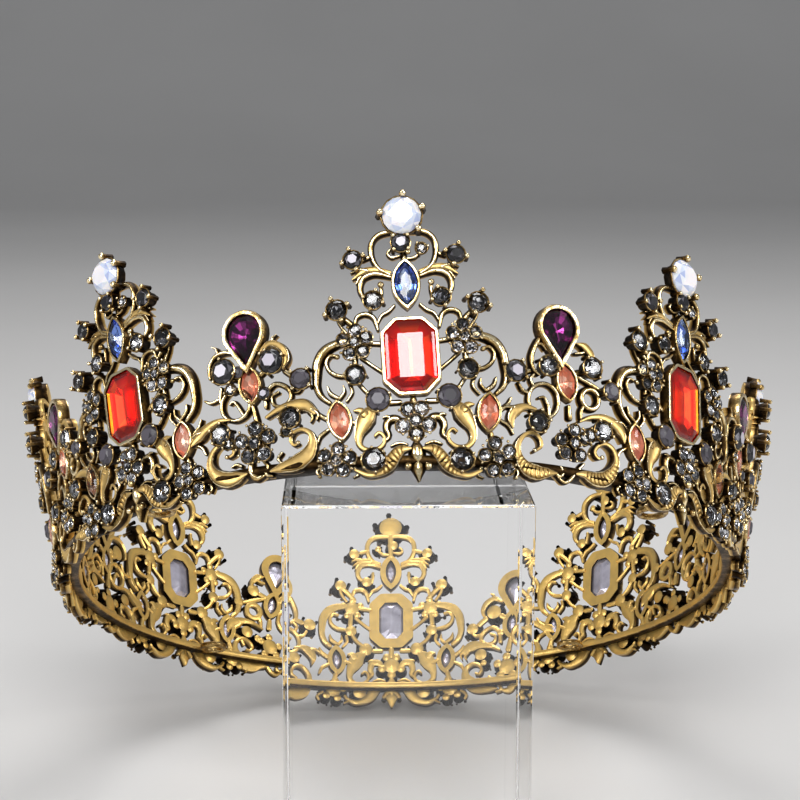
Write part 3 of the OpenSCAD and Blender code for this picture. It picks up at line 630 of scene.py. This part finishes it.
def ribbed_pear_unit():
    """A pear unit with engraved ribs on its crescents."""
    cast = Cast()
    pear(cast, 0.35, 18.9, 7.3)
    orange(cast, 1.65, 15.4, 14)
    # Smoky stones beside the bezels, with a bracket and a leaf
    setting(cast, "smoky", -2.1, 17.6, 1.75, 1.6, 4, turn=70, bead=0.34)
    setting(cast, "smoky", 6.3, 18.6, 1.9, 1.6, 4, turn=40, bead=0.34)
    wire(cast, [(-3.6, 16), (-4.7, 17), (-5, 18.8), (-4.6, 20.6), (-3.9, 22.2)],
         [0.6, 0.8, 0.9, 0.9, 0.9], 1.9)
    wire(cast, [(-4.3, 21.4), (-3.2, 21.5), (-2.5, 20.6)], [0.7, 0.6, 0.4], 1.7)
    blade(cast, [(3.4, 22.6), (4.9, 22.4), (6.2, 21.2), (6.7, 19.8)], [0.3, 1.4, 1.3, 0.5], 1.9)
    wire(cast, [(3.4, 20.9), (4.6, 21.2), (5.6, 21.8)], [0.5, 0.6, 0.5], 1.5)
    wire(cast, [(3.4, 17.2), (4.6, 17.8)], 1, 0.8)
    wire(cast, [(-0.2, 16.4), (-0.9, 17.4)], 1, 0.8)
    setting(cast, "black", -8, 15.9, 1.85, 1.7, 4, turn=60, stand=0.35)
    wire(cast, [(-6.2, 16.2), (-4.7, 16.8)], 1, 0.9)
    # Open rings, one with a tail inside it
    ring(cast, -2.4, 11.5, 2.8, 3.05, 0.75, 1.5)
    wire(cast, [(-1.2, 8.9), (-1.4, 10.4), (-2.3, 12.1), (-3.2, 11.9)], [0.8, 0.7, 0.6, 0.4], 1.3)
    wire(cast, [(-5.1, 12.6), (-6.3, 13), (-7.1, 14.1)], [0.7, 0.6, 0.5], 1.2)
    wire(cast, [(-4.4, 14), (-4.9, 15.1), (-4.2, 16.1)], [0.6, 0.6, 0.5], 1.2)
    ring(cast, 6.6, 13.2, 1.75, 1.75, 1, 1.6)
    wire(cast, [(5.4, 11.8), (4.9, 10.8), (4.9, 9.4)], [0.8, 0.7, 0.6], 1.3)
    wire(cast, [(3.2, 16.9), (5.4, 16.3), (7.4, 15.6), (9, 15.1)], [0.5, 0.8, 0.9, 0.5], 1.5)
    setting(cast, "grey", 10.3, 15.1, 1.6, 1.6, 4, turn=30, stand=0.35)
    # Leaves over the lower stones
    blade(cast, [(-4, 9.7), (-5.9, 9.9), (-7.5, 9), (-8.2, 7.5), (-7.9, 6)], [0.5, 1.1, 2, 1.5, 0.3], 1.8)
    wire(cast, [(-7.9, 9.6), (-9.2, 9.6), (-10, 8.7)], [0.8, 0.6, 0.2], 1.7)
    blade(cast, [(4.6, 8.8), (6.6, 9.9), (9.2, 10.3), (11.6, 9.7), (13.2, 8.4), (13.8, 6.8)],
          [0.4, 0.8, 1.2, 1.7, 2.1, 0.4], 1.8)
    wire(cast, [(12, 10.2), (13.4, 10.2), (14.3, 9.4)], [0.7, 0.5, 0.2], 1.7)
    setting(cast, "smoky", -3.6, 7.4, 1.85, 1.9, 5, turn=10, bead=0.34)
    setting(cast, "smoky", 8.6, 7.6, 1.85, 1.9, 5, turn=50, bead=0.34)
    setting(cast, "pave", 5.9, 6.2, 1.15, 1.9, 4, wall=0.22, bead=0.26)
    wire(cast, [(2.6, 11.2), (2.9, 9.2)], [0.8, 1.1], 1)
    flower(cast, 3, 4.5, 2.35, 1.1, (88, 30, 306, 232, 172), height=1.7)
    # Crescents that end in thin curls
    blade(cast, [(0.2, -1.1), (-1.4, -1.2), (-3.3, -1.4), (-5.2, -0.8), (-6.6, 0.9), (-6.9, 3), (-5.8, 4.9),
                 (-4.2, 5.4), (-3, 4.5), (-2.8, 3.2), (-3.8, 2.3)],
          [0.4, 1.8, 2.8, 2.6, 1.6, 1.1, 0.85, 0.75, 0.7, 0.6, 0.5], 2, ribs=24, density=8)
    ball(cast, (-3.9, 2.4), 1.2, 0.45)
    blade(cast, [(4.2, -0.6), (5.8, -0.5), (7.7, -0.9), (9.8, -0.5), (11.4, 1.1), (12.1, 3.1), (11.4, 4.9),
                 (9.8, 5.7), (8.2, 5), (7.5, 3.8), (8.2, 2.9), (9, 3)],
          [0.5, 1.6, 2.5, 2.9, 2.5, 1.7, 1.15, 0.85, 0.75, 0.7, 0.6, 0.5], 2, ribs=26, density=8)
    ball(cast, (9, 3.1), 1.2, 0.45)
    wire(cast, [(0.1, -0.9), (1.1, -1.5), (1.7, -0.7), (1.2, 0.2)], [0.6, 0.7, 0.6, 0.4], 1.5)
    wire(cast, [(0.8, -1.7), (1.9, -2.4), (3, -1.8), (3.9, -0.7)], [0.4, 0.6, 0.8, 0.6], 1.5)
    wire(cast, [(5.6, 1.4), (4.9, 0.4), (5.4, -0.4)], [0.6, 0.6, 0.4], 1.3)
    return cast


class Look:
    """A procedural material. The values are its shader's even ones, such as Metallic."""

    def __init__(self, name, **values):
        self.material = bpy.data.materials.new(name)
        self.material.use_nodes = True
        self.tree = self.material.node_tree
        self.shader = self.tree.nodes["Principled BSDF"]
        for key, value in values.items():
            self.shader.inputs[key.replace("_", " ")].default_value = value

    def node(self, kind, output, sources=(), **settings):
        """The output of a new node. The sources are its sockets with their values or links."""
        node = self.tree.nodes.new(kind)
        for key, value in settings.items():
            setattr(node, key, value)
        for socket, value in dict(sources).items():
            if isinstance(value, (int, float)):
                node.inputs[socket].default_value = value
            else:
                self.tree.links.new(value, node.inputs[socket])
        return node.outputs[output]

    def attribute(self, name):
        return self.node("ShaderNodeAttribute", "Fac", attribute_name=name)

    def noise(self, scale, detail=3):
        place = self.node("ShaderNodeTexCoord", "Object")
        return self.node("ShaderNodeTexNoise", "Fac", {"Vector": place, "Scale": scale, "Detail": detail})

    def sum(self, base, change, share=1, clamp=False):
        """base + change * share"""
        sources = {0: change, 1: share, 2: base}
        return self.node("ShaderNodeMath", 0, sources, operation="MULTIPLY_ADD", use_clamp=clamp)

    def clouds(self, scale, detail=3):
        """Noise about zero."""
        return self.sum(-0.5, self.noise(scale, detail))

    def colour(self, source, stops):
        """Base colour by a source. Each stop is its place on the ramp, red, green and blue."""
        node = self.tree.nodes.new("ShaderNodeValToRGB")
        elements = node.color_ramp.elements
        while len(elements) < len(stops):
            elements.new(0.5)
        for element, (place, *colour) in zip(elements, stops):
            element.position = place
            element.color = (*colour, 1)
        self.tree.links.new(source, node.inputs["Fac"])
        self.tree.links.new(node.outputs["Color"], self.shader.inputs["Base Color"])

    def rough(self, base, change, share):
        self.tree.links.new(self.sum(base, change, share), self.shader.inputs["Roughness"])

    def bump(self, height, strength, distance):
        sources = {"Height": height, "Strength": strength, "Distance": distance}
        self.tree.links.new(self.node("ShaderNodeBump", "Normal", sources), self.shader.inputs["Normal"])


def antique_gold():
    """Gold by the casting's tone: dark patina and painted shade in the recesses, pale worn edges with a
    painted highlight, and random clouds.
    """
    look = Look("antique_gold", Metallic=1)
    dirt = look.sum(look.sum(0, look.clouds(420), 0.8), look.clouds(1500), 0.5)
    wear_and_painted_light = look.sum(look.attribute("tone"), dirt, clamp=True)
    look.colour(wear_and_painted_light, [(0, 0.008, 0.005, 0.003), (0.35, 0.04, 0.021, 0.007), (0.65, 0.22, 0.13, 0.042),
                       (0.85, 0.62, 0.43, 0.17), (1, 1, 0.84, 0.52)])
    look.rough(0.55, wear_and_painted_light, -0.35)
    look.bump(look.noise(1300, 4), 0.6, 0.00012)
    return look.material


def satin_gold():
    """The plain inside of the castings. Its colour follows the casting's tone too, so it has painted shade
    next to the flanks and painted highlights on the rounded backs.
    """
    look = Look("satin_gold", Metallic=0.8)
    look.colour(look.sum(look.attribute("tone"), look.clouds(260), 0.6, clamp=True), [
        (0, 0.05, 0.025, 0.006), (0.3, 0.3, 0.17, 0.04), (0.6, 0.6, 0.41, 0.15), (1, 1, 0.66, 0.19)])
    look.rough(0.28, look.noise(900), 0.2)
    look.bump(look.noise(1000, 5), 0.6, 0.0001)
    return look.material


def cut_glass(name, red, green, blue, ior=1.6):
    """The clear top of a stone."""
    look = Look(name, Transmission_Weight=1, IOR=ior)
    look.colour(look.noise(300), [(0.3, red * 0.97, green * 0.97, blue * 0.97), (0.7, red, green, blue)])
    look.rough(0, look.noise(700), 0.04)
    return look.material


def foil(name, stops, roughness=0.12):
    """The coloured foil under a stone, painted with glints: its colour goes from dark to bright from facet to
    facet, by a random draw.
    """
    look = Look(name, Metallic=1)
    fire = look.attribute("fire")
    look.colour(look.sum(fire, look.clouds(500), 0.3, clamp=True), stops)
    look.rough(roughness, fire, 0.1)
    return look.material


def silver_back():
    """The lilac silver back of a stone, seen through its bezel from inside the crown."""
    look = Look("silver_back", Metallic=0.8)
    look.colour(look.noise(350), [(0.3, 0.5, 0.47, 0.56), (0.7, 0.78, 0.75, 0.86)])
    look.rough(0.22, look.noise(900), 0.2)
    return look.material


def jet_glass(name, stops, roughness, coat):
    """Dark opaque stones."""
    look = Look(name, Specular_IOR_Level=0.35, Coat_Weight=coat, Coat_Roughness=0.03)
    look.colour(look.attribute("fire"), stops)
    look.rough(roughness, look.noise(900), 0.1)
    return look.material


def opal_glass():
    """Milky opal with blue and rose clouds."""
    look = Look("opal_glass", Subsurface_Weight=0.4, Subsurface_Radius=(0.002, 0.0025, 0.004),
                Subsurface_Scale=0.6, Coat_Weight=1, Coat_Roughness=0.02)
    look.colour(look.sum(look.attribute("fire"), look.clouds(260, 2), clamp=True), [
        (0, 0.38, 0.44, 0.66), (0.35, 0.56, 0.62, 0.76), (0.7, 0.74, 0.75, 0.8), (1, 0.86, 0.82, 0.84)])
    look.rough(0.06, look.noise(900), 0.08)
    return look.material


def acrylic():
    """Polished clear acrylic with faint scratches."""
    look = Look("clear_acrylic", Transmission_Weight=1, IOR=1.49)
    look.colour(look.noise(30), [(0.3, 0.985, 0.99, 1), (0.7, 0.995, 0.998, 1)])
    look.rough(0, look.noise(120, 6), 0.02)
    return look.material


CASTING = [antique_gold(), satin_gold()]
SILVER = silver_back()
CLEAR = cut_glass("clear_glass", 1, 1, 1)
# Black glass: near black, with painted glints on the few facets that draw near 1, and a pale top stop that
# paints a lamp's reflection on some tables.
JET = jet_glass("black_glass", [
    (0, 0.006, 0.006, 0.007), (0.7, 0.014, 0.014, 0.017), (0.97, 0.1, 0.095, 0.11), (1, 0.5, 0.47, 0.53)],
    0.2, 0.08)
DULL = jet_glass("dull_glass", [(0, 0.02, 0.018, 0.022), (1, 0.1, 0.09, 0.11)], 0.3, 0.05)
OPAL = opal_glass()
# By kind of stone: its glass, its foil and its back, and the table of a red one
STONE_MATERIALS = {
    "red": [cut_glass("red_glass", 1, 0.6, 0.55), foil("red_foil", [
        (0, 1, 0.02, 0.01), (0.4, 1, 0.06, 0.02), (0.8, 1, 0.16, 0.03), (1, 1, 0.6, 0.02)], 0.25),
        SILVER, cut_glass("red_table", 1, 0.6, 0.6, 1.7)],
    "blue": [CLEAR, foil("blue_foil", [
        (0, 0.08, 0.14, 0.48), (0.4, 0.22, 0.37, 0.85), (1, 0.75, 0.86, 1)]), SILVER],
    "pear": [CLEAR, foil("purple_foil", [
        (0, 0.045, 0.006, 0.04), (0.45, 0.18, 0.025, 0.14), (0.8, 0.5, 0.06, 0.36), (1, 0.92, 0.7, 0.9)]),
        SILVER],
    "orange": [cut_glass("orange_glass", 1, 0.88, 0.82, 1.42), foil("orange_foil", [
        (0, 0.9, 0.36, 0.22), (0.5, 1, 0.5, 0.36), (1, 1, 0.85, 0.74)], 0.35), SILVER],
    "opal": [OPAL, OPAL, SILVER],
    "black": [JET, JET, SILVER],
    "grey": [DULL, DULL, SILVER],
    "smoky": [CLEAR, foil("smoky_foil", [
        (0, 0.004, 0.004, 0.005), (0.45, 0.04, 0.04, 0.045), (0.62, 0.28, 0.28, 0.31),
        (0.82, 0.9, 0.91, 0.95)], 0.05), SILVER],
}

# Stones: points, faces and a material slot for each face
GLASS, FOIL, REAR, TABLE = 0, 1, 2, 3
# Proportions of a round stone, as parts of its radius: heights of its girdle, crown and pavilion, and
# the size of its table
GIRDLE, CROWN, PAVILION, ROUND_TABLE = 0.12, 0.42, 0.55, 0.56
# Kites around the table of the round stones, where they aren't 6
ROUND_SIDES = {"opal": 8, "pave": 5}
# How far a silver back lies behind its foil, and its size as a part of the foil's
BACK_GAP, BACK_FIT = 0.1, 0.998


def brilliant(r, n):
    """A round stone with 2n girdle points. It stands on its seat by the girdle."""
    girdle, crown, pavilion = GIRDLE * r, CROWN * r, PAVILION * r
    angles = np.pi * np.arange(2 * n) / n
    circle = np.stack([np.cos(angles), np.sin(angles)], 1) * r
    points = np.vstack([np.column_stack([ring, np.full(len(ring), height)]) for ring, height in (
        (circle, 0), (circle, girdle), (circle[0::2] * (ROUND_TABLE + 1) / 2, girdle + crown * 0.62),
        (circle[1::2] * ROUND_TABLE, girdle + crown), (circle[0::2] * 0.5, -pavilion * 0.6),
        (np.zeros((1, 2)), -pavilion))])
    # First points of the two girdle rings, the kites, the table and the pavilion's mains, and the culet
    g0, g1, k0, t0, m0, culet = 0, 2 * n, 4 * n, 5 * n, 6 * n, 7 * n
    faces, slots = [[t0 + k for k in range(n)]], [GLASS]
    for k in range(n):
        # Four girdle points in turn: a, then b under the kite k, then c, and d under the next kite
        a, b, c, d = [(2 * k + step) % (2 * n) for step in (-1, 0, 1, 2)]
        kite, next_kite, main, next_main = k0 + k, k0 + (k + 1) % n, m0 + k, m0 + (k + 1) % n
        faces += [[kite, next_kite, t0 + k], [t0 + (k - 1) % n, kite, t0 + k], [kite, g1 + a, g1 + b],
                  [kite, g1 + b, g1 + c], [kite, g1 + c, next_kite], [g1 + b, g0 + b, g0 + c, g1 + c],
                  [g1 + c, g0 + c, g0 + d, g1 + d], [g0 + a, main, g0 + b], [g0 + b, main, g0 + c],
                  [g0 + c, main, next_main], [main, culet, next_main]]
        slots += [GLASS] * 7 + [FOIL] * 4
    return points, faces, slots


def stepped(levels, girdle):
    """A stone cut in steps. levels: outline and height, from the table down to the keel. Faces from
    the girdle's level down are foil, with the silver back just behind them."""
    n = len(levels[0][0])
    rings = [np.column_stack([outline, np.full(n, z)]) for outline, z in levels]
    backs = [ring - [0, 0, BACK_GAP] for ring in rings[girdle:]]
    backs[0][:, :2] *= BACK_FIT
    keel = len(rings) - 1
    faces, slots = [list(range(n))], [GLASS]
    for first, last, slot in ((0, girdle, GLASS), (girdle, keel, FOIL), (keel + 1, keel + len(backs), REAR)):
        for k in range(first, last):
            faces += [[k * n + i, (k + 1) * n + i, (k + 1) * n + j, k * n + j]
                      for i, j in zip(range(n), [*range(1, n), 0])]
            slots += [slot] * n
        if slot != GLASS:
            faces.append([last * n + i for i in range(n)][::-1])
            slots.append(slot)
    return np.vstack(rings + backs), faces, slots


def red_stone():
    outline = np.array(cut_rectangle(RED_W, RED_H, RED_CUT))
    table, keel = cut_rectangle(RED_W - 5.1, RED_H - 5.4, 0.15), outline * [0.06, 0.5]
    insets = [(0.9, 3.15), (0.1, 2.65), (0, 2.45), (0, 2.3), (1.2, 1.8), (2.4, 1.35)]
    steps = [(ring_points(outline, -inset), z) for inset, z in insets]
    points, faces, slots = stepped([(table, 3.45)] + steps + [(keel, 1)], 4)
    return points, faces, [TABLE] + slots[1:]


def small_stone(outline, middle, top, table):
    """A small pointed stone, with three steps down to the girdle's lower edge and three under it."""
    rings = [(table, 0), (0.8, 0.15), (0.98, 0.6), (1, 0.7), (0.72, 1.4), (0.4, 1.9), (0.08, 2.2)]
    centre = np.array([0, middle])
    return stepped([(centre + (outline - centre) * scale, top - down) for scale, down in rings], 3)


STONE_SHAPES = {"red": red_stone(), "blue": small_stone(marquise(BLUE_W, BLUE_H, 4), 0, 3.2, 0.5),
                "orange": small_stone(marquise(ORANGE_W, ORANGE_H, 4), 0, 2.4, 0.45),
                "pear": small_stone(drop(PEAR_W, PEAR_H, 9), PEAR_H * 0.58, 3.4, 0.6)}
# Side of a stone's foil painted with a bright flash, counted anticlockwise from its right or from its
# tip: for the units that show it, or else for all. The rest of that stone is painted darker by a part.
PAINTED_FLASHES = {("red", 1): 7, ("red", 2): 0, ("red", 8): 4, "red": 2, "pear": 6}
CALM = 0.75
# A black stone whose draw for its table is above this has a pale one, a painted reflection of a lamp
PAINTED_TABLE_REFLECTION = 0.55


class Gems:
    """Stones of one piece, already in the row frame."""

    def __init__(self):
        self.points, self.faces, self.slots, self.fire, self.count = [], [], [], [], 0

    def add(self, stone, azimuth, bend, chance, painted_flash=None):
        kind, u, v, height, r, turn = stone
        points, faces, slots = STONE_SHAPES.get(kind) or brilliant(r, ROUND_SIDES.get(kind, 6))
        flat = spun(points[:, :2], turn)
        rows = np.column_stack([np.full((len(flat), 2), (u, v)), flat, points[:, 2] + height])
        self.points.append(bend.place(azimuth, rows))
        self.faces += [[i + self.count for i in face] for face in faces]
        self.slots += slots
        self.count += len(points)
        # A random draw for each facet: painted glints on foils and black stones, and the opal's own tint.
        fire = chance.random(len(faces))
        if painted_flash is not None:
            fire *= CALM
            fire[slots.index(FOIL) + painted_flash] = 1
        if kind == "black" and fire[0] > PAINTED_TABLE_REFLECTION:
            fire[0] = 1
        self.fire += fire.tolist()


def new_object(name, points, faces, materials, slots=0, smooth=True, domain="POINT", **attributes):
    """A mesh in the scene. An attribute has a value for each point, or for each face."""
    mesh = bpy.data.meshes.new(name)
    mesh.from_pydata(np.asarray(points).tolist(), [], faces)
    for material in materials:
        mesh.materials.append(material)
    for key, values in attributes.items():
        mesh.attributes.new(key, "FLOAT", domain).data.foreach_set("value", values)
    mesh.polygons.foreach_set("material_index", np.broadcast_to(slots, len(faces)).tolist())
    if smooth:
        mesh.polygons.foreach_set("use_smooth", [True] * len(faces))
        mesh.set_sharp_from_angle(angle=SHARP)
    mesh.update()
    obj = bpy.data.objects.new(name, mesh)
    bpy.context.scene.collection.objects.link(obj)
    return obj


def finish_piece(obj, slot, *nodes):
    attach(obj, "root")
    if nodes:
        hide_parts(*nodes)


def cast_piece(name, cast, bend, azimuth, half, node):
    """One unit's casting, with its straight stretch of the rim bar."""
    bar, whole = rim_bar(azimuth, half), Cast()
    whole.extend(cast)
    whole.extend(bar)
    points = [how.place(azimuth, np.vstack(part.rows)) for how, part in ((bend, cast), (Bend(), bar))]
    tones = np.clip(np.concatenate(whole.tones), 0, 1) ** bend.patina_and_shade
    obj = new_object(name, np.vstack(points), whole.faces, CASTING, whole.slots, tone=tones)
    finish_piece(obj, "antique_gold", node)


def gem_piece(name, gems, kind, slot, *nodes):
    obj = new_object(name, np.vstack(gems.points), gems.faces, STONE_MATERIALS[kind], gems.slots,
                     smooth=False, domain="FACE", fire=gems.fire)
    finish_piece(obj, slot, *nodes)


# How each unit sits, from the front one round to the right. The units at the sides are painted paler, with
# thinner patina and less painted shade, as if more light fell on them.
SIDE_PAINTED_LIGHT = 0.55
LARGE_BENDS = [
    Bend(1.9, 0.055, 0.06, 1.015), Bend(3.8, 0.138, 0.02, 0.94),
    Bend(2, 0.02, 0, twist=-0.22, patina_and_shade=SIDE_PAINTED_LIGHT), Bend(0.1, -0.02, 0.01), Bend(0, 0.01, -0.01),
    Bend(0.2, 0.02, 0), Bend(-2, -0.02, 0.01, twist=0.22, patina_and_shade=SIDE_PAINTED_LIGHT), Bend(-0.1, 0.04, 0.02, 1.03)]
PEAR_BENDS = [Bend(shift, lean, scale=1.03, patina_and_shade=patina_and_shade) for shift, lean, patina_and_shade in (
    (-0.3, 0, 1), (-1.5, 0.01, SIDE_PAINTED_LIGHT), (-0.1, -0.01, 1), (-1.5, 0.02, 1), (-0.2, -0.02, 1),
    (-1.5, 0.02, 1), (-0.5, 0, SIDE_PAINTED_LIGHT), (-0.3, 0, 1))]
SLOTS = {"red": "red_glass", "blue": "blue_glass", "opal": "opal_glass", "pear": "purple_glass"}


def build_crown():
    chance = np.random.default_rng(7)
    large, pears = large_unit(), [smooth_pear_unit(), ribbed_pear_unit()]
    # Small stones share a piece by kind, the pavé ones with the smoky ones
    shared = {kind: Gems() for kind in ("orange", "black", "smoky", "grey")}
    shared["pave"] = shared["smoky"]
    for i in range(1, UNITS + 1):
        for size, cast, half, azimuth, bend in (
                ("large", large, LARGE_HALF, (i - 1) * STEP, LARGE_BENDS[i - 1]),
                ("pear", pears[i % 2], PEAR_HALF, (i - 0.5) * STEP, PEAR_BENDS[i - 1])):
            cast_piece(f"{size}_casting_{i}", cast, bend, azimuth, half, f"{size}_panel_{i}")
            for stone in cast.stones:
                kind = stone[0]
                if kind in shared:
                    shared[kind].add(stone, azimuth, bend, chance)
                    continue
                gems = Gems()
                gems.add(stone, azimuth, bend, chance, PAINTED_FLASHES.get((kind, i), PAINTED_FLASHES.get(kind)))
                gem_piece(f"{kind}_gem_{i}", gems, kind, SLOTS[kind], f"{kind}_stone_{i}")
    for kind in ("orange", "black", "smoky"):
        gem_piece(f"{kind}_gems", shared[kind], kind, f"{kind}_glass", f"{kind}_stones")
    gem_piece("grey_gems", shared["grey"], "grey", "smoky_glass")


def display_block():
    """The acrylic block with polished small chamfers."""
    low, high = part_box("acrylic_block")
    bpy.ops.mesh.primitive_cube_add(size=1)
    block = bpy.context.object
    block.name = "display_block"
    block.data.transform(Matrix.Translation((low + high) / 2) @ Matrix.Diagonal((*(high - low), 1)))
    bevel = block.modifiers.new("chamfer", "BEVEL")
    bevel.width, bevel.segments = 0.4 * MM, 2
    bpy.ops.object.modifier_apply(modifier=bevel.name)
    block.data.materials.append(acrylic())
    finish_piece(block, "clear_acrylic", "acrylic_block")


# The hair loops: azimuths, outer and inner radius, half their height, their rounding, half the width of
# their foot, how high they sit on the bar, and their tone
LOOP_AZIMUTHS = (-46.6, 49.3, 138.5, -138.5)
LOOP_OUT, LOOP_IN, LOOP_HALF, LOOP_ROUND, LOOP_FOOT, LOOP_UP, LOOP_TONE = 3, 2, 0.55, 0.2, 0.6, 0.2, 0.75


def hair_loops():
    """Flat rings with round edges, soldered to the inner edge of the rim bar."""
    half, low, cols = LOOP_HALF, LOOP_HALF * 0.6, 40
    inner, outer = LOOP_IN + LOOP_ROUND, LOOP_OUT - LOOP_ROUND
    profile = [[LOOP_IN, -low], [LOOP_IN, low], [inner, half], [outer, half],
               [LOOP_OUT, low], [LOOP_OUT, -low], [outer, -half], [inner, -half]]
    a = np.linspace(0, 2 * np.pi, cols, endpoint=False)[:, None]
    r, z = np.array(profile).T
    ring, cast = np.stack([r * np.cos(a), r * np.sin(a) - (BAR_R - LOOP_OUT), z + 0 * a], 2), Cast()
    cast.grid(ring, LOOP_TONE, wrap_rows=True, wrap_cols=True)
    # A small block joins the ring to the bar
    corners = [[x, y - BAR_R, z] for y in (-LOOP_FOOT / 2, LOOP_FOOT) for z in (-half, half)
               for x in (-LOOP_FOOT, LOOP_FOOT)]
    block = [[0, 1, 3, 2], [4, 6, 7, 5], [0, 2, 6, 4], [1, 5, 7, 3], [0, 4, 5, 1], [2, 3, 7, 6]]
    faces = cast.faces + [[cast.count + k for k in face] for face in block]
    points = np.vstack([ring.reshape(-1, 3), corners]) + [0, 0, LOOP_UP]
    for i, azimuth in enumerate(LOOP_AZIMUTHS, 1):
        placed = seat(np.column_stack([spun(points[:, :2], azimuth), points[:, 2]]))
        loop = new_object(f"pin_loop_{i}", placed, faces, CASTING[:1], tone=[LOOP_TONE] * len(points))
        finish_piece(loop, "antique_gold", f"hair_loop_{i}")


def studio():
    """Pale floor and soft lights."""
    # The floor rises behind the crown in one soft bend, and lies a hair under the block
    side, near, bend_at, bend_r, high, under = 4, -2.5, 1.6, 1.2, 4, 0.0002
    a = np.linspace(0, np.pi / 2, 24)
    line = np.vstack([[[near, 0]], np.stack([bend_at + bend_r * np.sin(a), bend_r * (1 - np.cos(a))], 1),
                      [[bend_at + bend_r, high]]])
    points = [[x, y, z - under] for y, z in line for x in (-side, side)]
    faces = [[2 * k, 2 * k + 1, 2 * k + 3, 2 * k + 2] for k in range(len(line) - 1)]
    look = Look("pale_floor", Roughness=0.45)
    look.colour(look.noise(3), [(0.3, 0.62, 0.61, 0.6), (0.7, 0.66, 0.65, 0.64)])
    new_object("floor", points, faces, [look.material])

    world = bpy.data.worlds.new("soft_room")
    bpy.context.scene.world = world
    world.use_nodes = True
    room = world.node_tree.nodes["Background"].inputs
    room["Color"].default_value = (0.75, 0.77, 0.8, 1)
    room["Strength"].default_value = 0.35

    # Softboxes: name, place, size and power
    target = Vector((0, -0.01, 0.08))
    for name, place, size, power in (
            ("key", (-0.03, -0.72, 0.66), 0.4, 6), ("left", (-0.8, -0.35, 0.5), 0.3, 3),
            ("right", (0.8, -0.3, 0.45), 0.3, 3), ("top", (0.06, 0.5, 0.9), 0.5, 4)):
        lamp = bpy.data.lights.new(name, "AREA")
        lamp.size, lamp.energy = size, power
        obj = bpy.data.objects.new(name, lamp)
        obj.location = place
        obj.rotation_euler = (target - Vector(place)).to_track_quat("-Z", "Y").to_euler()
        bpy.context.scene.collection.objects.link(obj)


def photo_camera():
    """The camera that the photograph's repeated motifs fit, given in the crown's frame: its angles, its
    distance, and how far it is moved to its side and up, in millimetres."""
    pitch, yaw, roll = math.radians(-24.09), math.radians(-1.84), math.radians(-0.88)
    distance, side, height = 380.6, 0.62, 37.89
    focal_pixels, picture = 1836, 800
    back = Vector((math.sin(yaw) * math.cos(pitch), -math.cos(yaw) * math.cos(pitch), math.sin(pitch)))
    right = Vector((math.cos(yaw), math.sin(yaw), 0))
    up = back.cross(right)
    across = math.cos(roll) * right + math.sin(roll) * up
    upright = math.cos(roll) * up - math.sin(roll) * right
    data = bpy.data.cameras.new("photo_camera")
    data.sensor_fit, data.sensor_width = "HORIZONTAL", 36
    data.lens = focal_pixels / picture * data.sensor_width
    data.clip_start = 0.01
    camera = bpy.data.objects.new("photo_camera", data)
    axes = Matrix.Rotation(-TILT, 3, "X") @ Matrix([across, upright, back]).transposed()
    place = seat(back * distance + across * side + upright * height)
    camera.matrix_world = Matrix.Translation(place.tolist()) @ axes.to_4x4()
    bpy.context.scene.collection.objects.link(camera)
    bpy.context.scene.camera = camera


bpy.context.scene.view_settings.view_transform = "Standard"
photo_camera()
build_crown()
display_block()
hair_loops()
studio()
